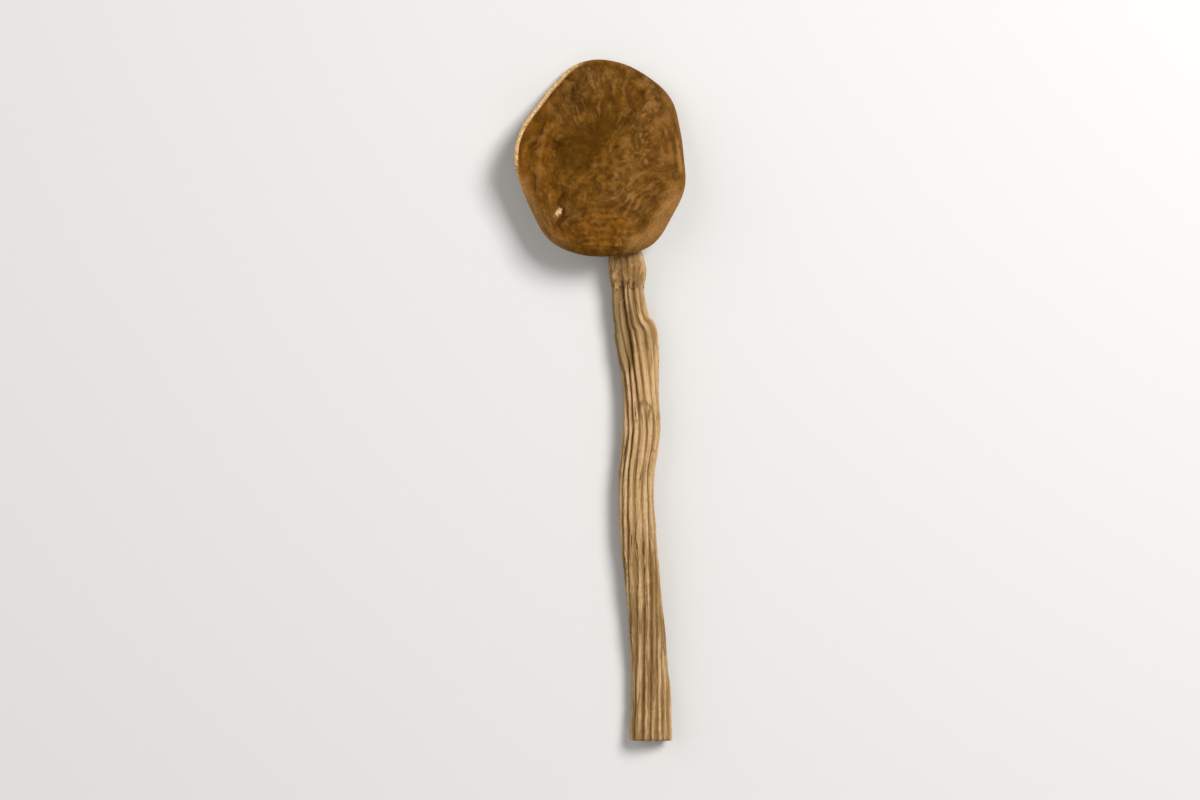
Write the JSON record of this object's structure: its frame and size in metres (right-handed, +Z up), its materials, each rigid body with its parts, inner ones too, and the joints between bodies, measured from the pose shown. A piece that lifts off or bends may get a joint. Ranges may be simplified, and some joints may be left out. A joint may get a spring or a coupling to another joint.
{
  "type": "dried tea tree mushroom",
  "caption": "Dried tea tree mushroom: wrinkled leathery cap with gills and a curled margin, on a long ribbed, bent stem with a shrivelled ring, lying on its side.",
  "frame": {"origin": "on the ground, at the middle of the box round the lying mushroom", "axes": "+Y from the foot of the stem to the cap, +Z up out of the cap's top, +X to the right when looked down on with the cap away"},
  "size_m": [0.0344, 0.1378, 0.0132],
  "materials": {
    "cap_flesh": "matte",
    "stem_fibre": "matte",
    "ring_skin": "matte"
  },
  "bodies": {
    "root": {"cap": "cap_flesh", "stem": "stem_fibre", "ring": "ring_skin"}
  },
  "joints": []
}
